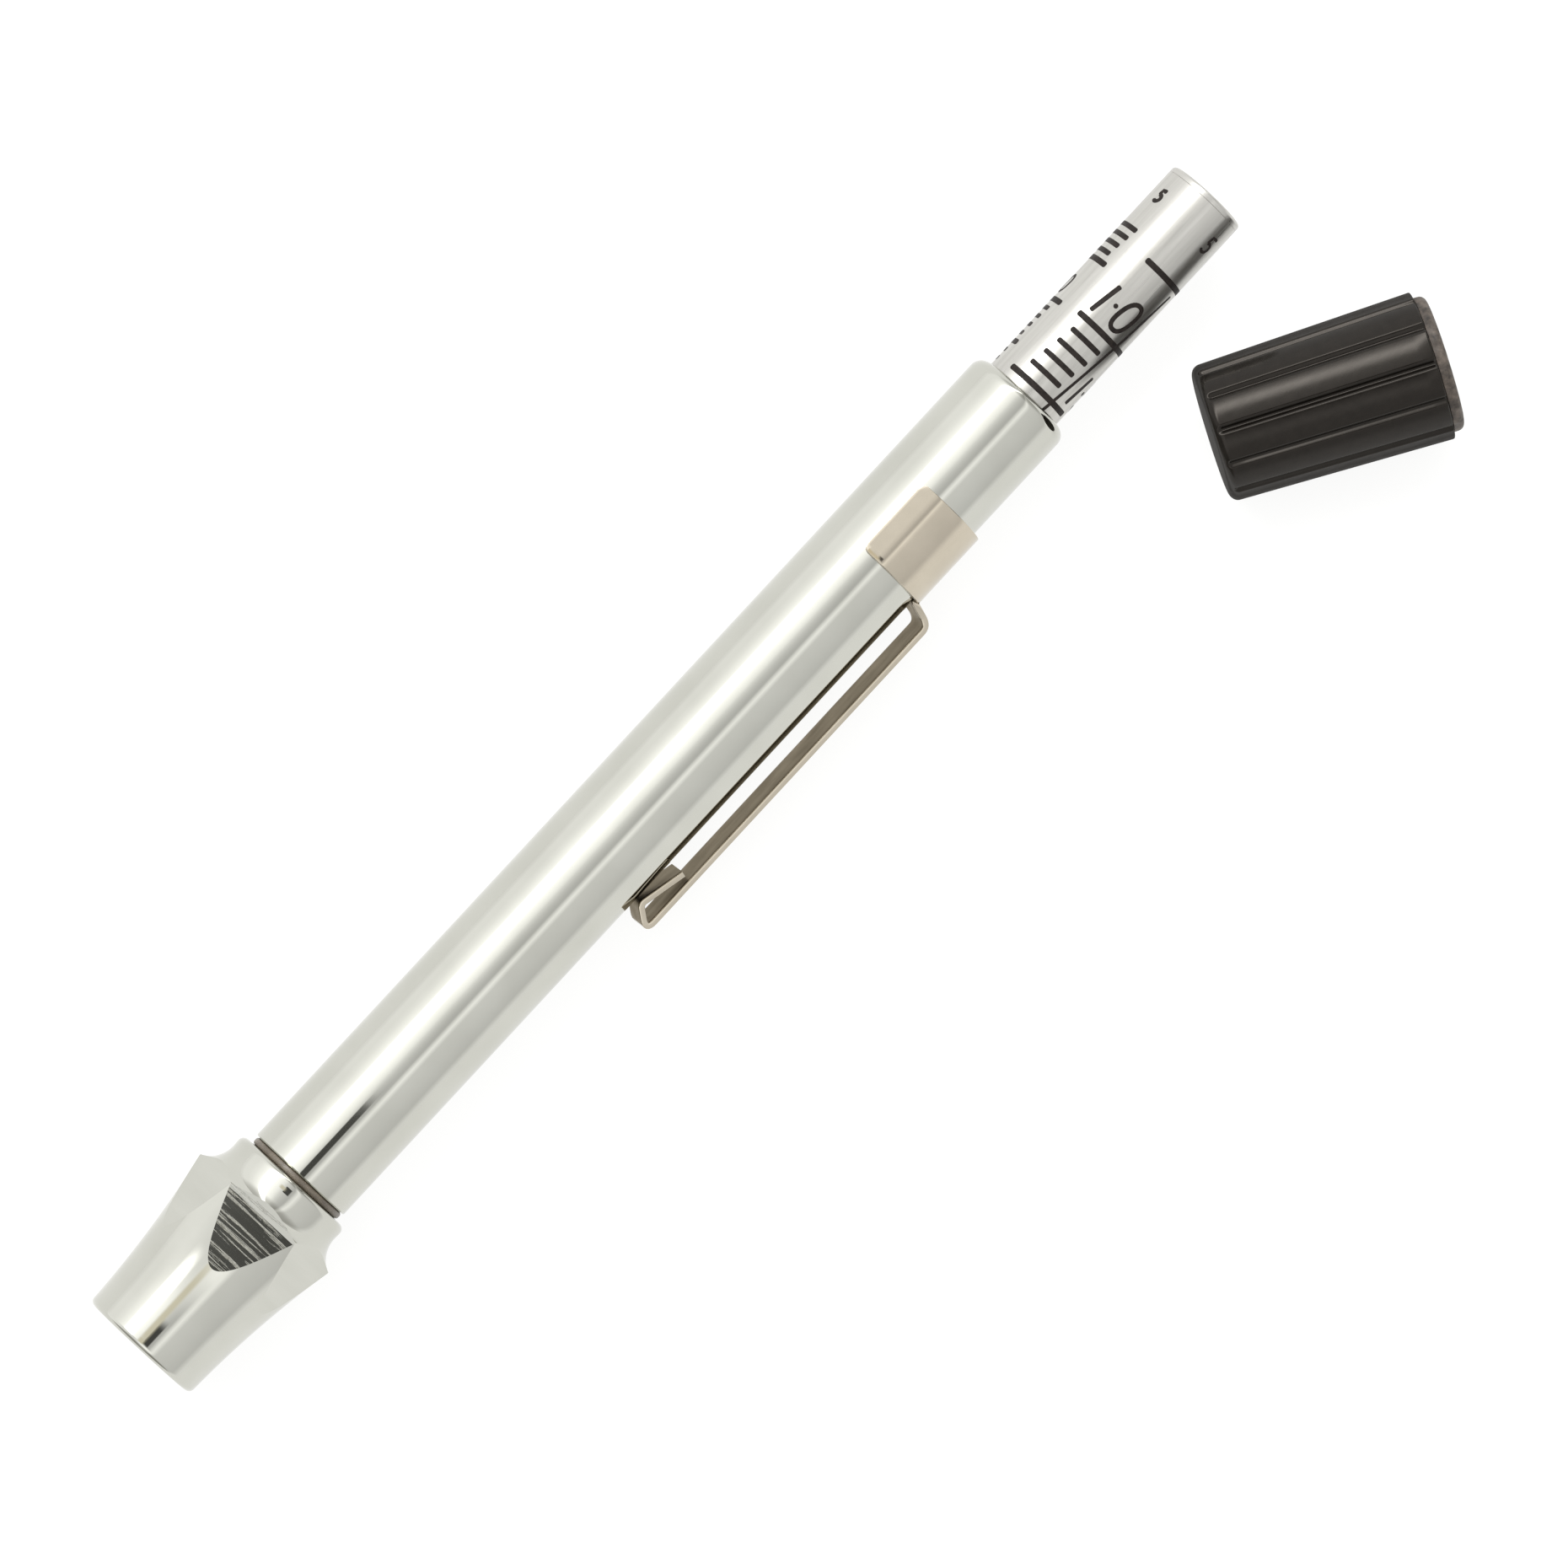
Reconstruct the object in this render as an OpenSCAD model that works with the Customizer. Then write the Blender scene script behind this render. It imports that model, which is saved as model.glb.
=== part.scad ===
// Pencil tire pressure gauge with its loose end cap lying beside it.
// The barrel lies along +X. The origin is the centre of the valve socket's mouth.
// The clip is on the -Y side and the gauge rests on the head's lower flat.

/* [Barrel] */
// Outer diameter of the barrel tube
barrel_d = 11.11; // [11.0:0.01:11.2]
// Wall of the barrel tube
barrel_wall = 0.455; // [0.4:0.005:0.5]
// Length of the barrel tube
barrel_len = 100.2; // [95:0.1:105]
// Outer radius of the end that is rolled in over the bush
roll_r = 1.27; // [1.2:0.01:1.27]

/* [Head] */
// Hexagon bar that the head is turned from, across flats
hex_af = 14.2; // [14:0.01:14.6]
// Length of the head outside the barrel
head_len = 21.3; // [21:0.1:21.6]
// Place of the shoulder where the flare ends
shoulder_x = 17.1; // [16.8:0.1:17.4]
// Radius of the flare at its tip, before the edge rounding
tip_r = 6.4; // [6.3:0.01:6.5]
// Rounding of the tip's outer edge
tip_round = 0.6; // [0.3:0.1:0.8]
// Radius of the flare's long curve
flare_r = 102; // [98:1:110]
// Radius of the concave neck behind the shoulder
neck_r = 3; // [2.8:0.1:3.4]
// Radius of the collar next to the barrel
collar_r = 6.5; // [6.3:0.05:6.6]
// Thickness of the ring between head and barrel
joint_gap = 0.8; // [0.6:0.1:1]
// Depth of the threaded spigot inside the barrel
spigot_len = 4.9; // [4:0.1:5.2]

/* [Valve end] */
// Radius of the socket that goes over a tire valve
socket_r = 4.05; // [4:0.01:4.2]
// Depth of the socket wall
socket_len = 5.5; // [5:0.1:6]
// Front face of the rubber gasket
gasket_x = 6.8; // [6.6:0.1:7]
// Thickness of the rubber gasket
gasket_t = 2.5; // [2:0.1:3]
// Radius of the gasket and of its groove
gasket_r = 4.6; // [4.4:0.05:4.8]
// Radius of the gasket's hole and of the airway behind it
airway_r = 2.2; // [2:0.1:2.4]
// Tip of the pin that opens the valve core
pin_x = 5.6; // [5.6:0.1:6.2]
// Radius of the pin
pin_r = 0.8; // [0.7:0.05:0.9]
// Thickness of the perforated disc that carries the pin
carrier_t = 1.5; // [1.2:0.1:1.8]

/* [Piston and spring] */
// Radius of the piston
piston_r = 4.9; // [4.7:0.05:5]
// Radius of the cup's sealing lip
cup_lip_r = 5.03; // [5:0.01:5.06]
// Diameter of the spring wire
wire_d = 0.56; // [0.4:0.02:0.56]
// Turns of the main spring
spring_turns = 26; // [18:1:30]

/* [Scale tube] */
// Diameter of the scale tube
scale_d = 8.4; // [8.2:0.05:8.4]
// Length of the scale tube with both end plugs
scale_len = 89; // [80:1:89]
// How far the scale tube stands out of the barrel
reading_out = 25.6; // [0:0.1:50]
// Wall of the scale tube
scale_wall = 0.45; // [0.3:0.05:0.6]

/* [Pocket clip] */
// Thickness of the clip's sheet
clip_t = 0.62; // [0.5:0.02:0.7]
// Width of the clip's arm
clip_w = 4.2; // [3.5:0.1:5]
// Distance from the barrel's axis to the middle of the arm
clip_reach = 8.03; // [7.6:0.01:8.6]
// Start of the band that holds the barrel
band_x = 101; // [98:0.1:105]
// Length of the band
band_len = 8.4; // [7:0.1:10]
// Half of the angle that the band's round part covers
band_half_angle = 109; // [100:0.5:115]
// Length of the straight tab at each free end of the band
band_tab = 1.05; // [0.8:0.05:1.5]
// Angle of the arm below the level of the axis
clip_droop = 17.6; // [0:0.1:20]

/* [End cap] */
// Length of the fluted body
cap_len = 22; // [21:0.1:24]
// Radius at the closed end
cap_r0 = 6.69; // [6.6:0.01:6.9]
// Radius at the mouth
cap_r1 = 7.25; // [7.2:0.01:7.4]
// Rounding at the closed end
cap_round = 1; // [0.8:0.1:1.4]
// Radius of the hole that takes the barrel
cap_bore_r = 5.65; // [5.6:0.01:5.7]
// Grooves round the cap
cap_grooves = 12; // [8:1:16]
// Heading of the cap's mouth on the table, clockwise from +X
cap_heading = 29.8; // [20:0.1:40]
// Place of the closed end on the table, along the gauge
cap_x = 131.5; // [130:0.1:140]
// Place of the closed end on the table, away from the gauge
cap_y = 15.5; // [15:0.1:30]

/* [Hidden] */
$fn = 96;

// barrel
barrel_r = barrel_d / 2;
bore_r = barrel_r - barrel_wall;
barrel_x0 = head_len + joint_gap;
barrel_x1 = barrel_x0 + barrel_len;
lip_r = barrel_r - roll_r;

// head
hex_apothem = hex_af / 2;
flare_x = -2.25;
shoulder_edge = 0.06;
undercut_r = 4.6;
collar_round = 0.7;
crest_r = 7;
crest_meet = 94;
washer_inset = 0.2;
table_z = -hex_apothem;

// bush, friction ring and spring seat, from the outer end inwards
bush_len = 2.4;
friction_len = 1.4;
seat_len = 0.6;
end_clear = 0.03;
bush_x = barrel_x1 - roll_r - end_clear - bush_len;
friction_x = bush_x - friction_len;
seat_x = friction_x - seat_len;

// scale tube, from its outer end inwards
scale_r = scale_d / 2;
tube_in_r = scale_r - scale_wall;
plug_cap_t = 0.7;
plug_len = 4;
scale_x1 = barrel_x1 + reading_out;
scale_x0 = scale_x1 - scale_len;

// piston, from its rear face forwards
contact_gap = 0.1;
piston_x = scale_x0 - contact_gap;
piston_t = 2.6;
cup_base_t = 1;
cup_len = 3;
screw_r = 1;
cup_washer_t = 0.5;
screw_head_t = 1;
screw_end = 0.5;

// spring
spring_r = (scale_r + bore_r) / 2;
spring_x0 = piston_x + 0.05 + wire_d / 2;
spring_x1 = seat_x - 0.05 - wire_d / 2;
wire_sides = 5;
steps_per_turn = 10;
closed_turns = 1.5;

// clip
band_r0 = barrel_r + 0.02;
band_mid = band_r0 + clip_t / 2;
neck_rise = 1;
hook_x = 61;
touch_x = 62.55;
tongue_x = 67.2;
tongue_r = 6.95;

// cap
cap_taper = atan((cap_r1 - cap_r0) / (cap_len - cap_round));
cap_tip_r = cap_r0 - cap_round * tan(cap_taper);
cap_floor = 3;
liner_wall = 0.45;
liner_lip_t = 1.25;
liner_lip_r = 6.63;
liner_round = 0.7;
groove_r = 0.5;
groove_out = 0.14;
groove_start = 1;
groove_turn = 1.5;

// Points of a circular arc, about c, from angle a0 to a1
function arc(c, r, a0, a1, n) =
    [for (i = [0:n]) let (a = a0 + (a1 - a0) * i / n) c + r * [cos(a), sin(a)]];

// Turns an outline of [x, radius] points about the X axis
module turned(outline) {
    rotate([0, 90, 0]) rotate_extrude() polygon([for (p = outline) [p[1], p[0]]]);
}

// Round bar along X from x0 to x1
module rod(r, x0, x1) {
    translate([x0, 0, 0]) rotate([0, 90, 0]) cylinder(h = x1 - x0, r = r);
}

// Tube along X from x0 to x1
module ring(r_out, r_in, x0, x1) {
    difference() {
        rod(r_out, x0, x1);
        rod(r_in, x0 - 1, x1 + 1);
    }
}

// ---- head ----

// Radius of the flare at a place along the head
function flare(x) = tip_r - 0.055 + flare_r - sqrt(flare_r * flare_r - pow(x - flare_x, 2));

// The collar's crown, and the neck that runs into it without a step
crest_c = [head_len - collar_round, collar_r - crest_r];
neck_c = crest_c + (crest_r + neck_r) * [cos(crest_meet), sin(crest_meet)];
neck_a0 = 360 - acos(max(-1, (shoulder_x + shoulder_edge - neck_c[0]) / neck_r));
flare_steps = 16;

head_outline = concat(
    [[0, 0]],
    arc([tip_round, flare(tip_round) - tip_round], tip_round, 180, 90, 6),
    [for (i = [1:flare_steps]) let (x = tip_round + (shoulder_x - tip_round) * i / flare_steps)
        [x, flare(x)]],
    arc(neck_c, neck_r, neck_a0, crest_meet + 180, 12),
    arc(crest_c, crest_r, crest_meet - 2, 90, 1),
    arc([head_len - collar_round, collar_r - collar_round], collar_round, 75, 0, 5),
    [[head_len, 0]]
);

module head() {
    carrier_end = gasket_x + gasket_t + carrier_t;
    spigot_end = barrel_x0 + spigot_len;
    color("silver") difference() {
        union() {
            intersection() {
                turned(head_outline);
                rotate([0, 90, 0]) rotate(30) cylinder(h = head_len, d = hex_af / cos(30), $fn = 6);
            }
            rod(undercut_r, head_len - 1, spigot_end);
            rod(bore_r, barrel_x0, spigot_end);
        }
        rod(socket_r, -1, socket_len + 0.1);
        rod(gasket_r, socket_len, gasket_x + gasket_t);
        rod(socket_r - 0.15, gasket_x, carrier_end);
        rod(airway_r, gasket_x, spigot_end + 1);
    }
}

module joint_washer() {
    color("dimgray") ring(barrel_r - washer_inset, undercut_r, head_len, barrel_x0);
}

// ---- valve end ----

module valve_gasket() {
    lip = 0.3;
    x1 = gasket_x + gasket_t;
    color("black") turned([
        [gasket_x, airway_r + lip], [gasket_x + lip, airway_r], [x1, airway_r],
        [x1, gasket_r], [gasket_x + lip, gasket_r], [gasket_x, gasket_r - lip]
    ]);
}

module pin_carrier() {
    holes = 6;
    hole_r = 0.45;
    x0 = gasket_x + gasket_t;
    color("goldenrod") difference() {
        ring(socket_r - 0.15, pin_r, x0, x0 + carrier_t);
        for (i = [0:holes - 1]) rotate([i * 360 / holes, 0, 0]) translate([0, 1.56, 0])
            rod(hole_r, x0 - 1, x0 + carrier_t + 1);
    }
}

module valve_pin() {
    tip = 0.35;
    x1 = gasket_x + gasket_t + carrier_t;
    color("gold") turned([
        [pin_x, 0], [pin_x, pin_r - tip], [pin_x + tip, pin_r], [x1, pin_r],
        [x1, pin_r + 0.25], [x1 + 0.5, pin_r + 0.25], [x1 + 0.5, 0]
    ]);
}

// ---- barrel ----

module barrel_tube() {
    roll_c = [barrel_x1 - roll_r, lip_r];
    color("gainsboro") turned(concat(
        [[barrel_x0, bore_r], [barrel_x0, barrel_r]],
        arc(roll_c, roll_r, 90, 0, 10),
        arc(roll_c, roll_r - barrel_wall, 0, 90, 10)
    ));
}

module guide_bush() {
    color("white") ring(bore_r, scale_r + 0.05, bush_x, bush_x + bush_len);
}

module friction_ring() {
    color("saddlebrown") ring(bore_r, scale_r + 0.02, friction_x, bush_x);
}

module spring_seat() {
    color("lightgray") ring(bore_r, scale_r + 0.1, seat_x, friction_x);
}

// ---- piston ----

cup_x = piston_x - piston_t - cup_base_t;

module piston_body() {
    color("goldenrod") difference() {
        rod(piston_r, piston_x - piston_t, piston_x);
        rod(screw_r, piston_x - piston_t - 1, piston_x - screw_end);
    }
}

module piston_cup() {
    mouth_x = cup_x + cup_base_t - cup_len;
    heel_r = cup_lip_r - 0.33;
    flank_r = cup_lip_r - 0.08;
    lip_in_r = cup_lip_r - 0.43;
    well_r = 3.7;
    well_round = 0.4;
    color("black") turned([
        [cup_x + cup_base_t, screw_r], [cup_x + cup_base_t, heel_r], [cup_x + well_round, flank_r],
        [mouth_x + 0.2, cup_lip_r], [mouth_x, flank_r], [mouth_x, lip_in_r],
        [cup_x - well_round, well_r + well_round], [cup_x, well_r], [cup_x, screw_r]
    ]);
}

module cup_spreader() {
    // dished ring of spring sheet that presses the cup's lip outwards
    t = 0.2;
    r0 = 3.9;
    r1 = 4.3;
    x0 = cup_x - 0.9;
    x1 = cup_x - 1.8;
    color("lightsteelblue") turned([[x0, r0], [x1, r1], [x1, r1 - t], [x0, r0 - 2 * t]]);
}

module cup_washer() {
    color("silver") ring(3.4, screw_r, cup_x - cup_washer_t, cup_x);
}

module piston_screw() {
    head_x1 = cup_x - cup_washer_t;
    head_x0 = head_x1 - screw_head_t;
    head_r = 2;
    slot_w = 0.5;
    slot_t = 0.4;
    color("silver") difference() {
        union() {
            rod(screw_r, head_x1, piston_x - screw_end);
            rod(head_r, head_x0, head_x1);
        }
        translate([head_x0 - 1, -slot_w / 2, -2 * head_r]) cube([1 + slot_t, slot_w, 4 * head_r]);
    }
}

// ---- spring ----

// Place along the axis after u turns, with closed coils at both ends
function coil_x(u) = let (
    pitch0 = wire_d * 1.08,
    open_len = spring_x1 - spring_x0 - 2 * closed_turns * pitch0,
    pitch1 = open_len / (spring_turns - 2 * closed_turns),
    u1 = min(u, closed_turns),
    u2 = min(max(u - closed_turns, 0), spring_turns - 2 * closed_turns),
    u3 = max(u - (spring_turns - closed_turns), 0)
) spring_x0 + (u1 + u3) * pitch0 + u2 * pitch1;

module main_spring() {
    rings = spring_turns * steps_per_turn;
    points = [for (i = [0:rings]) for (k = [0:wire_sides - 1]) let (
        turn = 360 * i / steps_per_turn,
        side = 360 * k / wire_sides,
        r = spring_r + wire_d / 2 * cos(side)
    ) [coil_x(i / steps_per_turn) + wire_d / 2 * sin(side), r * cos(turn), r * sin(turn)]];
    sides = [for (i = [0:rings - 1]) for (k = [0:wire_sides - 1]) let (
        a = i * wire_sides + k,
        b = i * wire_sides + (k + 1) % wire_sides
    ) [a, a + wire_sides, b + wire_sides, b]];
    first = [for (k = [0:wire_sides - 1]) k];
    last = [for (k = [wire_sides - 1:-1:0]) rings * wire_sides + k];
    color("slategray") polyhedron(points, concat(sides, [first, last]));
}

// ---- scale tube ----

module scale_tube() {
    color("lightgray") ring(scale_r, tube_in_r, scale_x0 + plug_cap_t, scale_x1 - plug_cap_t);
}

// Plug with a rounded cap as wide as the tube; it points to +X
module plug() {
    edge = 0.35;
    turned(concat(
        [[-plug_len, 0], [-plug_len, tube_in_r], [0, tube_in_r], [0, scale_r]],
        arc([plug_cap_t - edge, scale_r - edge], edge, 90, 0, 5),
        [[plug_cap_t, 0]]
    ));
}

module scale_end_plug() {
    color("silver") translate([scale_x1 - plug_cap_t, 0, 0]) plug();
}

module scale_foot() {
    color("darkgray") translate([scale_x0 + plug_cap_t, 0, 0]) mirror([1, 0, 0]) plug();
}

// ---- pocket clip ----

// Corner c of a path rounded off, with the curve starting s before it and ending s after it
function eased(a, c, b, s, n = 6) = let (
    p = c + s * (a - c) / norm(a - c),
    q = c + s * (b - c) / norm(b - c)
) [for (i = [0:n]) let (t = i / n) (1 - t) * (1 - t) * p + 2 * t * (1 - t) * c + t * t * q];

// Outline of a strip of thickness t along a path
function strip(path, t) = let (
    last = len(path) - 1,
    side = [for (i = [0:last]) let (
        d = path[min(i + 1, last)] - path[max(i - 1, 0)]
    ) [-d[1], d[0]] / norm(d) * t / 2]
) concat([for (i = [0:last]) path[i] + side[i]], [for (i = [last:-1:0]) path[i] - side[i]]);

clip_corners = [
    [band_x + 0.9, band_mid], [band_x + 0.2, band_mid], [band_x + 0.2 - neck_rise, clip_reach],
    [hook_x, clip_reach], [touch_x, band_mid], [tongue_x, tongue_r]
];
clip_ease = [0.4, 0.9, 1.2, 0.4];

module pocket_clip() {
    last = len(clip_corners) - 1;
    path = concat(
        [clip_corners[0]],
        [for (i = [1:last - 1])
            each eased(clip_corners[i - 1], clip_corners[i], clip_corners[i + 1], clip_ease[i - 1])],
        [clip_corners[last]]
    );
    far = 20;
    skin = 0.01;
    lap = 0.05;
    a = band_half_angle;
    color("tan") rotate([180 + clip_droop, 0, 0]) {
        difference() {
            ring(band_r0 + clip_t, band_r0, band_x, band_x + band_len);
            translate([band_x - 1, 0, 0]) rotate([90, 0, 90]) linear_extrude(band_len + 2)
                polygon([[0, 0], far * [cos(a), sin(a)], [-far, far], [-far, -far],
                    far * [cos(a), -sin(a)]]);
        }
        for (side = [-1, 1]) rotate([side * a, 0, 0])
            translate([band_x, band_r0 + skin, side > 0 ? -lap : -band_tab])
                cube([band_len, clip_t - 2 * skin, band_tab + lap]);
        translate([0, 0, -clip_w / 2]) linear_extrude(clip_w) polygon(strip(path, clip_t));
    }
}

// ---- end cap ----

// Puts a shape drawn along X, from the closed end, where the cap lies on the table
module on_table() {
    translate([cap_x, -cap_y, table_z + cap_tip_r * cos(cap_taper)])
        rotate([0, -cap_taper, -cap_heading]) children();
}

module end_cap() {
    color([0.16, 0.15, 0.14]) on_table() difference() {
        turned(concat(
            [[0, 0]],
            arc([cap_round, cap_r0 - cap_round], cap_round, 180, 90, 8),
            [[cap_len - 0.15, cap_r1], [cap_len, cap_r1 - 0.15], [cap_len, 0]]
        ));
        rod(cap_bore_r + liner_wall, cap_floor, cap_len + 1);
        for (i = [0:cap_grooves - 1]) rotate([groove_turn + i * 360 / cap_grooves, 0, 0])
            translate([0, 0, cap_tip_r + groove_out]) rotate([0, -cap_taper, 0])
                rod(groove_r, groove_start, cap_len + 2);
    }
}

module cap_liner() {
    x1 = cap_len + liner_lip_t;
    color([0.33, 0.3, 0.27]) on_table() turned(concat(
        [[cap_floor, cap_bore_r], [cap_floor, cap_bore_r + liner_wall],
            [cap_len, cap_bore_r + liner_wall], [cap_len, liner_lip_r]],
        arc([x1 - liner_round, liner_lip_r - liner_round], liner_round, 90, 0, 6),
        [[x1, cap_bore_r]]
    ));
}

head();
barrel_tube();
joint_washer();
valve_gasket();
valve_pin();
pin_carrier();
piston_body();
piston_cup();
cup_spreader();
cup_washer();
piston_screw();
main_spring();
spring_seat();
friction_ring();
guide_bush();
scale_tube();
scale_foot();
scale_end_plug();
pocket_clip();
end_cap();
cap_liner();
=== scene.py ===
"""Pencil tire pressure gauge: polished chrome, a printed scale tube, a nickel clip and a fluted cap.

Lengths are worked out in millimetres in the gauge's own frame, with +X along the barrel, and become metres in
the mesh builder. Angles round the barrel count from straight up (+Z) towards the clip's side (-Y), in degrees.
"""
import math

import bmesh
import bpy
from mathutils import Matrix, Vector


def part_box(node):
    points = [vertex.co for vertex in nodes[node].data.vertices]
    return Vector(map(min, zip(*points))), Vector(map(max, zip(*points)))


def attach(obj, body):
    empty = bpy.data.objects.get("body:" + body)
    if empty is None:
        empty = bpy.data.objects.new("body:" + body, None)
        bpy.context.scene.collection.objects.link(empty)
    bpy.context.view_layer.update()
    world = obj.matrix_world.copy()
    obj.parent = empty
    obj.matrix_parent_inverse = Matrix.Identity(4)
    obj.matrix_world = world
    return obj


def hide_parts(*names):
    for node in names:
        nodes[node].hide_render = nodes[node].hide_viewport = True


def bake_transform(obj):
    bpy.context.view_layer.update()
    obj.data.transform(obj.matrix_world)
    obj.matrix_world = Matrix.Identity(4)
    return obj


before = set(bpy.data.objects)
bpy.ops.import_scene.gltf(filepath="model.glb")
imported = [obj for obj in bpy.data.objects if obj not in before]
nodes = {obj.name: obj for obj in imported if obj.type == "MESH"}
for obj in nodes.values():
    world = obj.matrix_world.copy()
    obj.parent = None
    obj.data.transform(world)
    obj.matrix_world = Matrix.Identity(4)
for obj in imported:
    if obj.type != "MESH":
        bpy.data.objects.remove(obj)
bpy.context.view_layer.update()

MM = 0.001


# ---------------------------------------------------------------- sizes, in millimetres, from the frame

def span(node):
    """Lowest and highest corner of a CAD node, in millimetres."""
    low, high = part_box(node)
    return low / MM, high / MM


HEAD_END = span("head")[1].x
TUBE_X0, TUBE_X1 = span("barrel_tube")[0].x, span("barrel_tube")[1].x
TUBE_R = span("barrel_tube")[1].z
TUBE_WALL = 0.455
APOTHEM = -span("head")[0].z
TABLE_Z = span("head")[0].z
HEAD_LEN = span("joint_washer")[0].x
SCALE_X0, SCALE_X1 = span("scale_foot")[0].x, span("scale_end_plug")[1].x
SCALE_R = span("scale_tube")[1].z
SPRING_X0, SPRING_X1 = span("main_spring")[0].x, span("main_spring")[1].x
BAND_LEN = 8.4
BAND_X1 = span("pocket_clip")[1].x
BAND_X0 = BAND_X1 - BAND_LEN

CAP_LEN = 22.0
CAP_R0 = 6.69
CAP_R1 = 7.25
CAP_ROUND = 1.0
CAP_HEADING = math.radians(29.8)
CAP_TAPER = math.atan((CAP_R1 - CAP_R0) / (CAP_LEN - CAP_ROUND))
CAP_TIP_R = CAP_R0 - CAP_ROUND * math.tan(CAP_TAPER)
CAP_PLACE = Vector((131.5, -15.5, TABLE_Z + CAP_TIP_R * math.cos(CAP_TAPER)))
CAP_MATRIX = (
    Matrix.Translation(CAP_PLACE)
    @ Matrix.Rotation(-CAP_HEADING, 4, "Z")
    @ Matrix.Rotation(-CAP_TAPER, 4, "Y")
)


# ---------------------------------------------------------------- outlines

def arc(centre, radius, start, end, steps):
    """Points of an arc from start to end, in degrees."""
    turn = [math.radians(start + (end - start) * i / steps) for i in range(steps + 1)]
    return [(centre[0] + radius * math.cos(a), centre[1] + radius * math.sin(a)) for a in turn]


def smoothstep(low, high, x):
    """0 at low, 1 at high, eased between."""
    t = min(max((x - low) / (high - low), 0.0), 1.0)
    return t * t * (3 - 2 * t)


def eased(before, corner, after, setback, steps=8):
    """A path's corner rounded off, with the curve starting setback away from it on both sides."""
    c = Vector(corner)
    p = c + (Vector(before) - c).normalized() * setback
    q = c + (Vector(after) - c).normalized() * setback
    return [(1 - t) ** 2 * p + 2 * t * (1 - t) * c + t * t * q for t in (i / steps for i in range(steps + 1))]


def rounded(corners, setbacks, steps=8):
    """A path through the corners, each inner one rounded off."""
    path = [Vector(corners[0])]
    for i, setback in enumerate(setbacks, start=1):
        path += eased(corners[i - 1], corners[i], corners[i + 1], setback, steps)
    return path + [Vector(corners[-1])]


# ---------------------------------------------------------------- mesh builders

def finish_mesh(name, bm, sharp=35, matrix=None):
    """Object from a bmesh drawn in millimetres, smooth with sharp edges over an angle."""
    bmesh.ops.remove_doubles(bm, verts=bm.verts, dist=1e-5)
    bmesh.ops.recalc_face_normals(bm, faces=bm.faces)
    if matrix:
        bmesh.ops.transform(bm, matrix=matrix, verts=bm.verts)
    bmesh.ops.scale(bm, vec=(MM, MM, MM), verts=bm.verts)
    mesh = bpy.data.meshes.new(name)
    bm.to_mesh(mesh)
    bm.free()
    mesh.shade_smooth()
    mesh.set_sharp_from_angle(angle=math.radians(sharp))
    piece = bpy.data.objects.new(name, mesh)
    bpy.context.scene.collection.objects.link(piece)
    return piece


def settle(obj, sharp):
    """Turns an object's modifiers into mesh."""
    bpy.context.view_layer.update()
    mesh = bpy.data.meshes.new_from_object(obj.evaluated_get(bpy.context.evaluated_depsgraph_get()))
    obj.modifiers.clear()
    obj.data = mesh
    mesh.shade_smooth()
    mesh.set_sharp_from_angle(angle=math.radians(sharp))


def grid_faces(bm, rows, closed_across=True, closed_along=False):
    """Quads between rows of vertices; a row of one vertex is a pole."""
    last = len(rows) if closed_along else len(rows) - 1
    for i in range(last):
        a, b = rows[i], rows[(i + 1) % len(rows)]
        count = max(len(a), len(b))
        for j in range(count if closed_across else count - 1):
            k = (j + 1) % count
            corners = [a[j % len(a)], a[k % len(a)], b[k % len(b)], b[j % len(b)]]
            ring = [v for n, v in enumerate(corners) if v not in corners[:n]]
            if len(ring) > 2:
                bm.faces.new(ring)


def lathe(outline, segments=192, closed=False, dent=None):
    """Surface turned about X from (x, radius) points; dent(x, turn) takes a little off the radius."""
    bm = bmesh.new()
    rows = []
    for x, r in outline:
        if r < 1e-6:
            rows.append([bm.verts.new((x, 0, 0))])
            continue
        ring = []
        for j in range(segments):
            turn = math.tau * j / segments
            radius = r - (dent(x, turn) if dent else 0)
            ring.append(bm.verts.new((x, -radius * math.sin(turn), radius * math.cos(turn))))
        rows.append(ring)
    grid_faces(bm, rows, closed_along=closed)
    return bm


# ---------------------------------------------------------------- materials

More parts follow.
